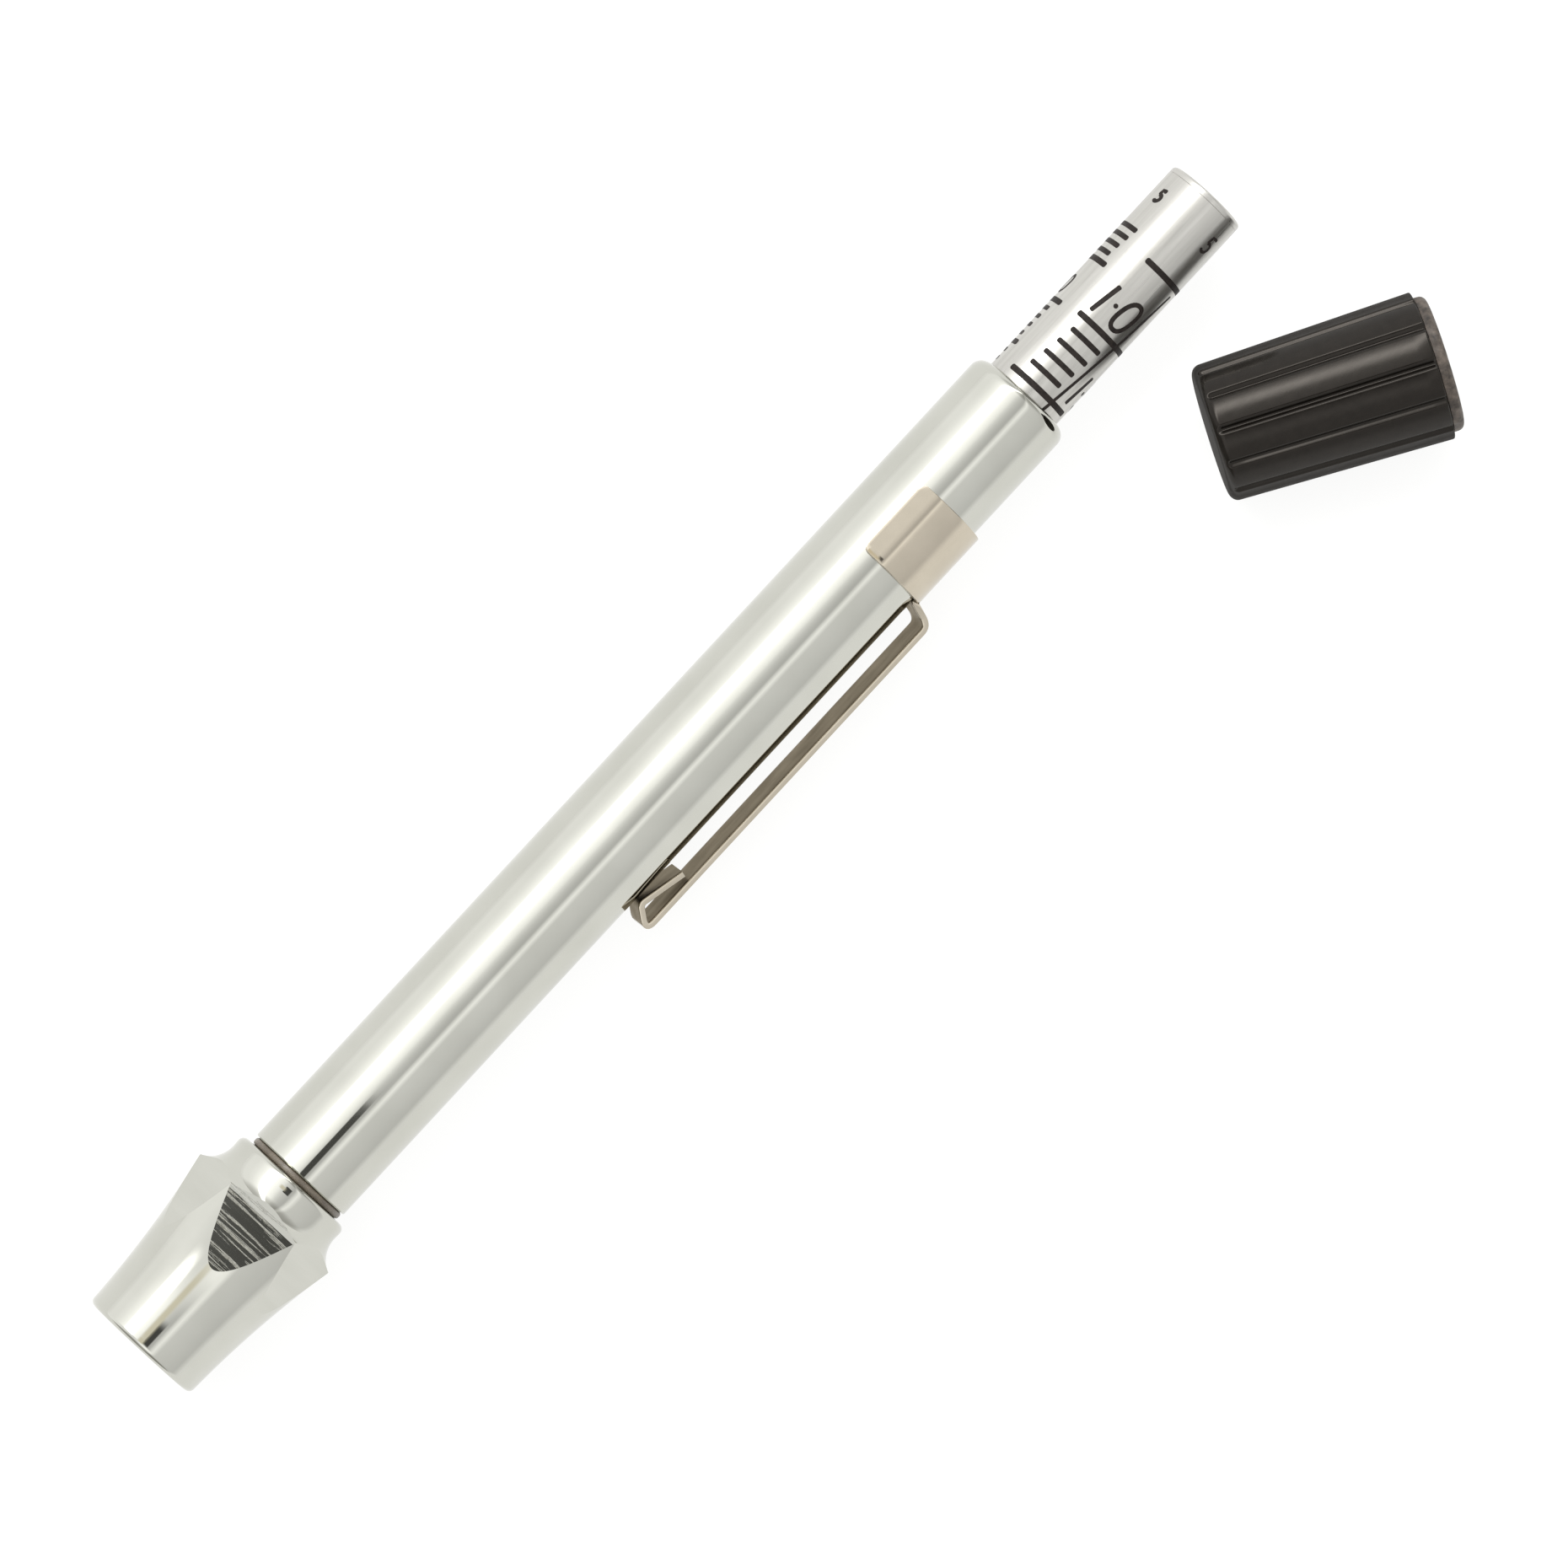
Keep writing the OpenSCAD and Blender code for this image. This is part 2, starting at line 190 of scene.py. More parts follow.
class Paint:
    """Small helper that wires a procedural material."""

    def __init__(self, name):
        self.material = bpy.data.materials.new(name)
        self.material.use_nodes = True
        self.tree = self.material.node_tree
        self.shader = self.tree.nodes["Principled BSDF"]
        self.place = self.tree.nodes.new("ShaderNodeTexCoord").outputs["Object"]

    def set(self, **values):
        for key, value in values.items():
            self.shader.inputs[key.replace("_", " ")].default_value = value
        return self

    def link(self, out, socket):
        self.tree.links.new(out, socket)

    def mapped(self, scale=(1, 1, 1), turn=(0, 0, 0)):
        node = self.tree.nodes.new("ShaderNodeMapping")
        node.inputs["Scale"].default_value = scale
        node.inputs["Rotation"].default_value = turn
        self.link(self.place, node.inputs["Vector"])
        return node.outputs["Vector"]

    def noise(self, scale, detail=3.0, stretch=(1, 1, 1), turn=(0, 0, 0), roughness=0.5):
        node = self.tree.nodes.new("ShaderNodeTexNoise")
        node.inputs["Scale"].default_value = scale
        node.inputs["Detail"].default_value = detail
        node.inputs["Roughness"].default_value = roughness
        self.link(self.mapped(stretch, turn), node.inputs["Vector"])
        return node.outputs["Fac"]

    def ramp(self, fac, stops):
        node = self.tree.nodes.new("ShaderNodeValToRGB")
        ramp = node.color_ramp
        while len(ramp.elements) < len(stops):
            ramp.elements.new(0.5)
        for element, (place, value) in zip(ramp.elements, stops):
            element.position = place
            element.color = (*value, 1) if isinstance(value, tuple) else (value, value, value, 1)
        self.link(fac, node.inputs["Fac"])
        return node.outputs["Color"]

    def math(self, kind, a, b):
        node = self.tree.nodes.new("ShaderNodeMath")
        node.operation = kind
        for socket, value in zip(node.inputs, (a, b)):
            if isinstance(value, (int, float)):
                socket.default_value = value
            else:
                self.link(value, socket)
        return node.outputs[0]

    def bump(self, height, strength, distance):
        node = self.tree.nodes.new("ShaderNodeBump")
        node.inputs["Strength"].default_value = strength
        node.inputs["Distance"].default_value = distance * MM
        self.link(height, node.inputs["Height"])
        previous = self.shader.inputs["Normal"].links
        if previous:
            self.link(previous[0].from_socket, node.inputs["Normal"])
        self.link(node.outputs["Normal"], self.shader.inputs["Normal"])
        return self

    def rough(self, fac, low, high, edge=0.0):
        """Roughness between low and high, with edge more of it where the surface is seen edge on."""
        value = self.ramp(fac, [(0.3, low), (0.7, high)])
        if edge:
            weight = self.tree.nodes.new("ShaderNodeLayerWeight")
            weight.inputs["Blend"].default_value = 0.5
            value = self.math("ADD", value, self.ramp(weight.outputs["Facing"], [(0.4, 0.0), (0.7, edge)]))
        self.link(value, self.shader.inputs["Roughness"])
        return self

    def colour(self, fac, stops):
        self.link(self.ramp(fac, stops), self.shader.inputs["Base Color"])
        return self


PLATE = [(0.3, (0.535, 0.535, 0.485)), (0.7, (0.57, 0.57, 0.52))]


def chrome():
    """Polished plate with faint wipe marks and hair scratches."""
    p = Paint("polished_chrome").set(Metallic=1.0)
    p.colour(p.noise(180, 3), PLATE)
    p.rough(p.noise(420, 5, (0.25, 1, 1)), 0.015, 0.035)
    p.bump(p.noise(260, 2), 0.25, 0.004)
    p.bump(p.noise(5200, 2, (0.02, 1, 1)), 0.12, 0.002)
    return p.material


def drawn_flat():
    """The hexagon bar's own skin: plated, with shallow drawing marks across it and a few deeper ones."""
    p = Paint("drawn_flat").set(Metallic=1.0)
    fine = p.noise(3400, 4, (1, 0.04, 0.04), roughness=0.6)
    marks = p.noise(3300, 5, (1, 0.028, 0.028), roughness=0.7)
    p.colour(p.noise(700, 3, (1, 0.08, 0.08)), PLATE)
    p.rough(fine, 0.015, 0.04)
    p.bump(fine, 0.14, 0.0015)
    p.bump(p.ramp(marks, [(0.555, 0.0), (0.66, 1.0)]), 0.36, 0.0055)
    return p.material


def nickel(name, dark, light, low, high, edge=(1, 1, 1)):
    """Warm nickel plate on spring sheet, with faint rolling marks along it."""
    p = Paint(name).set(Metallic=1.0, Specular_Tint=(*edge, 1))
    p.colour(p.noise(320, 4), [(0.3, dark), (0.7, light)])
    p.rough(p.noise(900, 4, (0.3, 1, 1)), low, high)
    p.bump(p.noise(1500, 3, (0.2, 1, 1)), 0.2, 0.003)
    return p.material


def satin_tube():
    """Drawn tube with fine lines along it."""
    p = Paint("satin_tube").set(Metallic=1.0)
    lines = p.noise(1500, 5, (0.05, 1, 1), roughness=0.6)
    p.colour(lines, [(0.3, (0.48, 0.47, 0.44)), (0.7, (0.60, 0.59, 0.555))])
    p.rough(p.noise(2400, 4, (0.05, 1, 1)), 0.26, 0.36)
    p.bump(p.noise(3800, 3, (0.03, 1, 1)), 0.22, 0.004)
    return p.material


def ink():
    """Dark brown printing, thinner in places."""
    p = Paint("scale_ink").set(Metallic=0.0, Specular_IOR_Level=0.2)
    p.colour(p.noise(2600, 3), [(0.35, (0.010, 0.007, 0.006)), (0.75, (0.024, 0.018, 0.015))])
    p.rough(p.noise(1800, 2), 0.45, 0.6)
    return p.material


def black_plastic():
    """Satin moulded plastic with fine scuffs along the flutes."""
    p = Paint("black_plastic").set(Metallic=0.0)
    cloudy = p.noise(900, 5, roughness=0.7)
    p.colour(cloudy, [(0.3, (0.003, 0.0024, 0.0019)), (0.75, (0.008, 0.0066, 0.0054))])
    p.rough(p.noise(1500, 5, (0.3, 1, 1), turn=(0, 0, CAP_HEADING)), 0.12, 0.2, edge=0.6)
    p.set(Specular_IOR_Level=0.3, Specular_Tint=(1, 0.92, 0.83, 1))
    p.bump(p.noise(4200, 3), 0.25, 0.006)
    p.bump(p.noise(2600, 3, (0.06, 1, 1), turn=(0, 0, CAP_HEADING)), 0.25, 0.006)
    return p.material


def rubber(name, dark, light, scale=700):
    """Matt rubber, mottled where it is rubbed."""
    p = Paint(name).set(Metallic=0.0)
    p.colour(p.noise(scale, 5, roughness=0.65), [(0.35, dark), (0.68, light)])
    p.rough(p.noise(1200, 3), 0.5, 0.75)
    p.bump(p.noise(3600, 4), 0.5, 0.02)
    return p.material


def turned_metal(name, dark, light, low=0.18, high=0.32):
    """Metal with fine turning marks round the axis."""
    p = Paint(name).set(Metallic=1.0)
    p.colour(p.noise(500, 3), [(0.3, dark), (0.7, light)])
    p.rough(p.noise(1600, 3), low, high)
    p.bump(p.noise(5200, 2, (1, 0.05, 0.05)), 0.3, 0.006)
    return p.material


def fibre():
    """Pressed fibre, brown and rubbed shiny at its rim."""
    p = Paint("pressed_fibre").set(Metallic=0.0, Specular_IOR_Level=0.7)
    flecks = p.noise(2200, 5, (1, 0.4, 0.4), roughness=0.7)
    p.colour(flecks, [(0.3, (0.075, 0.06, 0.043)), (0.7, (0.155, 0.128, 0.093))])
    p.rough(p.noise(1500, 3), 0.24, 0.42)
    p.bump(p.noise(5200, 4), 0.3, 0.01)
    return p.material


def floor_paint():
    """Plain white table, lit a little from below as a light table is, so that shadows stay pale."""
    p = Paint("white_table").set(Metallic=0.0, Roughness=0.9, Specular_IOR_Level=0.0)
    p.set(Base_Color=(0.18, 0.18, 0.178, 1), Emission_Color=(1, 1, 0.995, 1), Emission_Strength=0.86)
    return p.material


CHROME = chrome()
FLAT = drawn_flat()
NICKEL = nickel("warm_nickel", (0.51, 0.46, 0.372), (0.56, 0.505, 0.412), 0.06, 0.13)
# The clip's inside faces: a rougher nickel, and its dark brown colour is painted shade for the shadow under the
# barrel that these faces look into
NICKEL_INSIDE_PAINTED_SHADE = nickel(
    "dull_nickel_painted_shade", (0.142, 0.117, 0.081), (0.195, 0.163, 0.117), 0.28, 0.42, edge=(0.82, 0.78, 0.7)
)
SATIN = satin_tube()
BUTTON = turned_metal("satin_button", (0.52, 0.51, 0.48), (0.58, 0.57, 0.535), 0.26, 0.34)
INK = ink()
BLACK = black_plastic()
BROWN_RUBBER = rubber("brown_rubber", (0.02, 0.015, 0.011), (0.112, 0.089, 0.071), 1100)
BLACK_RUBBER = rubber("black_rubber", (0.012, 0.012, 0.012), (0.035, 0.034, 0.033))
BRASS = turned_metal("turned_brass", (0.60, 0.43, 0.20), (0.74, 0.56, 0.30))
STEEL = turned_metal("drawn_steel", (0.40, 0.40, 0.41), (0.56, 0.56, 0.57))
FIBRE = fibre()
NYLON = rubber("natural_nylon", (0.62, 0.60, 0.54), (0.74, 0.72, 0.66))


def piece_of(obj, body, slot, material, *replaced):
    """Paints a piece, hides the CAD parts it replaces and lets it ride on its body."""
    obj.data.materials.append(material)
    if replaced:
        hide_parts(*replaced)
    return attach(obj, body)


# ---------------------------------------------------------------- head

FLARE_R = 102.0
FLARE_X = -2.25
TIP_R = 6.4
TIP_DROP = 0.055
TIP_ROUND = 0.6
SHOULDER_X = 17.1
SHOULDER_EDGE = 0.06
NECK_R = 3.0
CREST_R = 7.0
CREST_MEET = 94.0
FLAT_END = 16.9
FLAT_TILT = math.radians(2.5)
COLLAR_R = 6.5
COLLAR_ROUND = 0.7
SOCKET_R = 4.05
SOCKET_LEN = 5.5
GASKET_X1 = span("valve_gasket")[1].x
GASKET_R = span("valve_gasket")[1].z
CARRIER_X1 = span("pin_carrier")[1].x
CARRIER_R = span("pin_carrier")[1].z
AIRWAY_R = 2.2
UNDERCUT_R = 4.6
SPIGOT_R = TUBE_R - TUBE_WALL
SOCKET_EDGE = 0.15


def flare(x):
    """Radius of the head's long bell curve, which is TIP_DROP under TIP_R at its thinnest."""
    return TIP_R - TIP_DROP + FLARE_R - math.sqrt(FLARE_R ** 2 - (x - FLARE_X) ** 2)


def head_outline():
    """Closed outline of the turned head, from the mouth round the outside and back through the bore."""
    crest = Vector((HEAD_LEN - COLLAR_ROUND, COLLAR_R - CREST_R))
    meet = math.radians(CREST_MEET)
    neck = crest + Vector((math.cos(meet), math.sin(meet))) * (CREST_R + NECK_R)
    neck_start = 360 - math.degrees(math.acos((SHOULDER_X + SHOULDER_EDGE - neck.x) / NECK_R))
    steps = 40
    outside = arc((TIP_ROUND, flare(TIP_ROUND) - TIP_ROUND), TIP_ROUND, 180, 90, 10)
    for i in range(1, steps + 1):
        x = TIP_ROUND + (SHOULDER_X - TIP_ROUND) * i / steps
        outside.append((x, flare(x)))
    outside += arc(neck, NECK_R, neck_start, CREST_MEET + 180, 30)
    outside += arc(crest, CREST_R, CREST_MEET - 1, 91, 3)
    outside += arc((HEAD_LEN - COLLAR_ROUND, COLLAR_R - COLLAR_ROUND), COLLAR_ROUND, 90, 0, 12)
    inside = [
        (HEAD_LEN, UNDERCUT_R), (TUBE_X0, UNDERCUT_R), (TUBE_X0, SPIGOT_R), (HEAD_END, SPIGOT_R),
        (HEAD_END, AIRWAY_R), (CARRIER_X1, AIRWAY_R), (CARRIER_X1, CARRIER_R), (GASKET_X1, CARRIER_R),
        (GASKET_X1, GASKET_R), (SOCKET_LEN, GASKET_R), (SOCKET_LEN, SOCKET_R), (SOCKET_EDGE, SOCKET_R),
        (0, SOCKET_R + SOCKET_EDGE),
    ]
    return outside + inside


def crisp_between_materials(mesh):
    """Marks the edges between faces of two materials as sharp."""
    sides = {}
    for face in mesh.polygons:
        for key in face.edge_keys:
            sides.setdefault(key, set()).add(face.material_index)
    for edge in mesh.edges:
        if len(sides[edge.key]) > 1:
            edge.use_edge_sharp = True


def cut_flat(bm, point, normal, material):
    """Cuts everything beyond a plane off and closes the cut."""
    geom = bm.verts[:] + bm.edges[:] + bm.faces[:]
    cut = bmesh.ops.bisect_plane(bm, geom=geom, plane_co=point, plane_no=normal, clear_outer=True, dist=1e-6)
    edges = [e for e in cut["geom_cut"] if isinstance(e, bmesh.types.BMEdge)]
    for face in bmesh.ops.edgeloop_fill(bm, edges=edges)["faces"]:
        face.material_index = material


def make_head():
    """The turned head. Six flats of its hexagon bar are left on the widest part, eased off at the shoulder."""
    bm = lathe(head_outline(), 288, closed=True)
    for i in range(6):
        turn = math.radians(60 * i)
        normal = Vector((0, -math.sin(turn), math.cos(turn)))
        cut_flat(bm, normal * APOTHEM, normal, 1)
        shoulder = Vector((FLAT_END, 0, 0)) + normal * APOTHEM
        eased_normal = normal * math.cos(FLAT_TILT) + Vector((math.sin(FLAT_TILT), 0, 0))
        cut_flat(bm, shoulder, eased_normal, 2)
    head = finish_mesh("head_shell", bm, sharp=22)
    crisp_between_materials(head.data)
    piece_of(head, "barrel", "chrome", CHROME, "head")
    for _ in ("flats", "eased ends"):
        head.data.materials.append(FLAT)


make_head()


# ---------------------------------------------------------------- barrel

ROLL_R = 1.27
TUBE_EDGE = 0.12
RING_SAG = 0.3
RING_SHARES = (-1, -0.85, -0.65, -0.35, 0.35, 0.65, 0.85, 1)


def make_barrel():
    """The round tube; its far end is rolled in over the bush."""
    centre = (TUBE_X1 - ROLL_R, TUBE_R - ROLL_R)
    outline = [(TUBE_X0, SPIGOT_R), (TUBE_X0, TUBE_R - TUBE_EDGE), (TUBE_X0 + TUBE_EDGE, TUBE_R)]
    outline += arc(centre, ROLL_R, 90, 0, 16)
    outline += arc(centre, ROLL_R - TUBE_WALL, 0, 90, 12)
    barrel = finish_mesh("barrel_shell", lathe(outline, 256, closed=True))
    piece_of(barrel, "barrel", "chrome", CHROME, "barrel_tube")


def make_joint_ring():
    """The fibre ring squeezed between head and barrel, with a rounded rim."""
    r = span("joint_washer")[1].z
    middle = (HEAD_LEN + TUBE_X0) / 2
    half = (TUBE_X0 - HEAD_LEN) / 2
    rim = [(middle + half * share, r - RING_SAG * share ** 4) for share in RING_SHARES]
    outline = [(HEAD_LEN, UNDERCUT_R), *rim, (TUBE_X0, UNDERCUT_R)]
    ring = finish_mesh("joint_ring", lathe(outline, 128, closed=True), sharp=50)
    piece_of(ring, "barrel", "fibre", FIBRE, "joint_washer")


make_barrel()
make_joint_ring()


# ---------------------------------------------------------------- pocket clip

CLIP_T = 0.62
CLIP_EDGE = 0.09
CLIP_HALF_W = 2.1
CLIP_REACH = 8.03
CLIP_DROOP = math.radians(17.6)
BAND_GAP = 0.02
BAND_MID = TUBE_R + BAND_GAP + CLIP_T / 2
BAND_BEND = math.radians(98.6)
TAB_TURN = math.radians(10.5)
TAB_LEN = 2.13
TAB_ROUND = 0.6
BAND_HALF = BAND_BEND + TAB_LEN / BAND_MID
NECK_HALF_W = 2.7
NECK_LEN = 2.2
NECK_TAPER = 1.1
NECK_RISE = 1.0
NECK_MIN_X = 90.0
HOOK_X = 61.0
TOUCH_X = 62.55
TONGUE_X, TONGUE_OUT = 67.4, 6.95
BEND_SETBACKS = (0.09, 0.9, 1.2, 0.45)
ROOT_POINTS = 5
STEP_LEN = 3.0
CLIP_OUT = Vector((0, -math.cos(CLIP_DROOP), -math.sin(CLIP_DROOP)))
CLIP_ACROSS = Vector((0, math.sin(CLIP_DROOP), -math.cos(CLIP_DROOP)))


def clip_point(x, out, across):
    return Vector((x, 0, 0)) + CLIP_OUT * out + CLIP_ACROSS * across


def tab_inset(angle):
    """How far the band's two edges draw in at this angle, for the round corners of its free ends."""
    near = TAB_ROUND - (BAND_HALF - abs(angle)) * BAND_MID
    return TAB_ROUND - math.sqrt(max(TAB_ROUND ** 2 - near ** 2, 0)) if near > 0 else 0


def band_place(angle):
    """Round the barrel, and flat at both free ends, which are pressed in a little past the bend."""
    bend = math.copysign(min(abs(angle), BAND_BEND), angle)
    past = (angle - bend) * BAND_MID
    lie = bend + math.copysign(TAB_TURN, angle)
    return (BAND_MID * math.cos(bend) - past * math.sin(lie), BAND_MID * math.sin(bend) + past * math.cos(lie))


def clip_path():
    """Middle of the neck, arm, hook and tongue, in (x, out). The band's edge stands in for the first points."""
    corners = [(BAND_X0, BAND_MID), (BAND_X0 - 0.1, BAND_MID), (BAND_X0 + 0.2 - NECK_RISE, CLIP_REACH),
               (HOOK_X, CLIP_REACH), (TOUCH_X, BAND_MID), (TONGUE_X, TONGUE_OUT)]
    bends = rounded(corners, BEND_SETBACKS)[ROOT_POINTS:]
    path = []
    for a, b in zip(bends, bends[1:]):
        pieces = max(1, int((b - a).length / STEP_LEN))
        path += [a.lerp(b, k / pieces) for k in range(pieces)]
    return path + [bends[-1]]


def strip_line(point, shares):
    """One row across the strip. The neck is curved and wide like the band, the arm flat and narrower."""
    on_neck = point.y < CLIP_REACH and point.x > NECK_MIN_X
    gone = BAND_X0 - point.x if on_neck else NECK_LEN
    rise = point.y - BAND_MID
    flat = smoothstep(0, NECK_LEN, gone + rise * 0.5)
    half_w = CLIP_HALF_W + (NECK_HALF_W - CLIP_HALF_W) * (1 - smoothstep(0, NECK_TAPER, gone + rise))
    curve = max((1 - flat) / BAND_MID, 1e-4)
    angles = [share * half_w * curve for share in shares]
    return [clip_point(point.x, point.y - (1 - math.cos(a)) / curve, math.sin(a) / curve) for a in angles]


def make_clip():
    """One bent sheet: a band with straight free ends, a neck that steps out, the arm and a folded hook."""
    bm = bmesh.new()
    columns = 8
    rows = 12
    side_steps = 26
    shares = [2 * j / columns - 1 for j in range(columns + 1)]
    middle = [NECK_HALF_W / BAND_MID * s for s in shares]
    reach = [middle[-1] + (BAND_HALF - middle[-1]) * (i / side_steps) ** 0.85 for i in range(1, side_steps + 1)]
    angles = [-a for a in reversed(reach)] + middle + reach

    band = []
    for i in range(rows + 1):
        line = []
        for angle in angles:
            shift = tab_inset(angle)
            x = BAND_X0 + shift + (BAND_LEN - 2 * shift) * i / rows
            line.append(bm.verts.new(clip_point(x, *band_place(angle))))
        band.append(line)
    grid_faces(bm, band, closed_across=False)

    strip = [band[0][len(reach):len(reach) + columns + 1]]
    strip += [[bm.verts.new(place) for place in strip_line(point, shares)] for point in clip_path()]
    grid_faces(bm, strip, closed_across=False)
    clip = finish_mesh("pocket_clip_sheet", bm, sharp=180)
    thick = clip.modifiers.new("thickness", "SOLIDIFY")
    thick.thickness = CLIP_T * MM
    thick.offset = 0
    thick.use_even_offset = True
    soft = clip.modifiers.new("edges", "BEVEL")
    soft.width = CLIP_EDGE * MM
    soft.segments = 3
    soft.use_clamp_overlap = False
    soft.limit_method = "ANGLE"
    soft.angle_limit = math.radians(50)
    settle(clip, sharp=60)
    piece_of(clip, "barrel", "nickel", NICKEL, "pocket_clip")
    # Faces turned towards the barrel take the darker nickel, whose colour is painted shade
    clip.data.materials.append(NICKEL_INSIDE_PAINTED_SHADE)
    for face in clip.data.polygons:
        if face.normal.dot(CLIP_OUT) < -0.2 and face.center.x < BAND_X0 * MM:
            face.material_index = 1


make_clip()


# ---------------------------------------------------------------- scale tube and its printing

PLUG_CAP = 0.7
PLUG_LEN = 4.0
PLUG_EDGE = 0.35
PLUG_GAP = 0.04
SCALE_WALL = 0.45
INK_UP = 0.014
INK_DOWN = 0.03
INK_TOP = 0.86
LONG_W = 0.68
SHORT_W = 0.6

# Both scales follow a helix: degrees round the tube for each millimetre along it
TWIST = 2.36
LINE_TWIST = TWIST - 0.2
LINE_X = 122.5
LINE_TURN = 35.0
LINE_W = 0.4

# Bar scale: its zero, its pitch, and the angles where marks begin and end, past the dividing line
BAR_ZERO = SCALE_X1 - 0.75
BAR_PITCH = 15.88
LONG_START = -41.0
LONG_PAST = 36
TENTH_START, TENTH_END = -63, -10
BAR_NUMBER_X, BAR_NUMBER_PAST = 0.75, 42
DIGIT_H = 3.8
DIGIT_W = 0.54
DOT_R = 0.27

# Pound scale: its zero and pitch, where its marks end at PSI_X, and how much longer every fifth one is
PSI_ZERO = SCALE_X1 - 0.8
PSI_PITCH = 1.085
PSI_X = 137.25
PSI_TURN = -45.6
PSI_MARK = 50
PSI_LONG_BEFORE, PSI_LONG_PAST = 62, 11
PSI_NUMBER_X, PSI_NUMBER_BEFORE = 0.9, 85
PSI_DIGIT_H = 2.4
PSI_DIGIT_W = 0.4


def make_scale_tube():
    """The sliding tube, open at both ends, between the flanges of its two plugs."""
    inner = SCALE_R - SCALE_WALL
    outline = [(SCALE_X0 + PLUG_CAP, inner), (SCALE_X0 + PLUG_CAP, SCALE_R), (SCALE_X1 - PLUG_CAP, SCALE_R),
               (SCALE_X1 - PLUG_CAP, inner)]
    tube = finish_mesh("scale_tube_shell", lathe(outline, 192, closed=True))
    piece_of(tube, "scale", "scale_metal", SATIN, "scale_tube")


def make_end_plug():
    """The plug that closes the tube's outer end, with its rounded button."""
    x0 = SCALE_X1 - PLUG_CAP
    inner = SCALE_R - SCALE_WALL
    outline = [(x0 - PLUG_LEN, 0), (x0 - PLUG_LEN, inner), (x0, inner), (x0, SCALE_R - PLUG_GAP),
               (x0 + PLUG_GAP, SCALE_R)]
    outline += arc((SCALE_X1 - PLUG_EDGE, SCALE_R - PLUG_EDGE), PLUG_EDGE, 90, 0, 10) + [(SCALE_X1, 0)]
    plug = finish_mesh("scale_button", lathe(outline, 192))
    piece_of(plug, "scale", "scale_metal", BUTTON, "scale_end_plug")


def on_scale(x, along, lift):
    """A point of the unrolled tube: x along it, and millimetres round it from straight up."""
    turn = along / SCALE_R
    r = SCALE_R + lift
    return Vector((x, -r * math.sin(turn), r * math.cos(turn)))


def stroke(bm, points, width):
    """A printed line through (x, along) points, closed, with round ends."""
    points = [Vector(p) for p in points]
    closed = (points[0] - points[-1]).length < 1e-6
    stations = []
    last = len(points) - 1
    for i, p in enumerate(points):
        before = points[i - 1] if i > 0 else (points[-2] if closed else p)
        after = points[i + 1] if i < last else (points[1] if closed else p)
        d = (after - before).normalized()
        stations.append((p, d, 1.0))
    if not closed:
        caps = [(1, 0.5), (0.82, 0.82), (0.5, 1)]
        d0, d1 = stations[0][1], stations[-1][1]
        half = width / 2
        stations = [(points[0] - d0 * half * (a - 1), d0, b) for a, b in caps] + stations[1:-1] + [
            (points[-1] + d1 * half * (a - 1), d1, b) for a, b in reversed(caps)
        ]
    rows = []
    for p, d, share in stations:
        side = Vector((-d.y, d.x)) * width / 2 * share
        top = side * INK_TOP
        corners = [(p + side, -INK_DOWN), (p + top, INK_UP), (p - top, INK_UP), (p - side, -INK_DOWN)]
        rows.append([bm.verts.new(on_scale(q.x, q.y, lift)) for q, lift in corners])
    grid_faces(bm, rows, closed_along=closed)
    if not closed:
        bm.faces.new(rows[0])
        bm.faces.new(rows[-1])


def dot(bm, x, along, radius):
    """A printed round dot."""
    rims = []
    for share, lift in ((1, -INK_DOWN), (INK_TOP, INK_UP)):
        circle = arc((x, along), radius * share, 0, 345, 23)
        rims.append([bm.verts.new(on_scale(px, py, lift)) for px, py in circle])
    grid_faces(bm, rims)
    for rim in rims:
        bm.faces.new(rim)


def oval(cx, cy, rx, ry, start=0, end=360, steps=28, square=1.0):
    """Points of an oval, in degrees from the right; a square under 1 fills its corners out."""
    points = []
    for i in range(steps + 1):
        a = math.radians(start + (end - start) * i / steps)
        u, v = math.cos(a), math.sin(a)
        u, v = math.copysign(abs(u) ** square, u), math.copysign(abs(v) ** square, v)
        points.append((cx + rx * u, cy + ry * v))
    return points


DIGITS = {
    "0": [oval(0.3, 0.5, 0.235, 0.44, square=0.82)],
    "1": [[(0.3, 0.03), (0.3, 0.5), (0.3, 0.97)]],
    "2": [oval(0.3, 0.7, 0.22, 0.25, 165, -25, 14) + [(0.4, 0.4), (0.08, 0.05), (0.3, 0.05), (0.53, 0.05)]],
    "3": [oval(0.28, 0.73, 0.2, 0.22, 150, -75, 14), oval(0.28, 0.28, 0.23, 0.25, 78, -150, 16)],
    "4": [[(0.4, 0.05), (0.4, 0.5), (0.4, 0.95), (0.05, 0.27), (0.25, 0.27), (0.55, 0.27)]],
    "5": [[(0.5, 0.95), (0.3, 0.95), (0.12, 0.95), (0.1, 0.55)], oval(0.27, 0.31, 0.24, 0.27, 128, -150, 18)],
}
DIGIT_STEP = {"1": 0.48, ".": 0.145}
DOT_RISE = 0.53
FULL_STEP = 0.72
GLYPH_W = 0.6


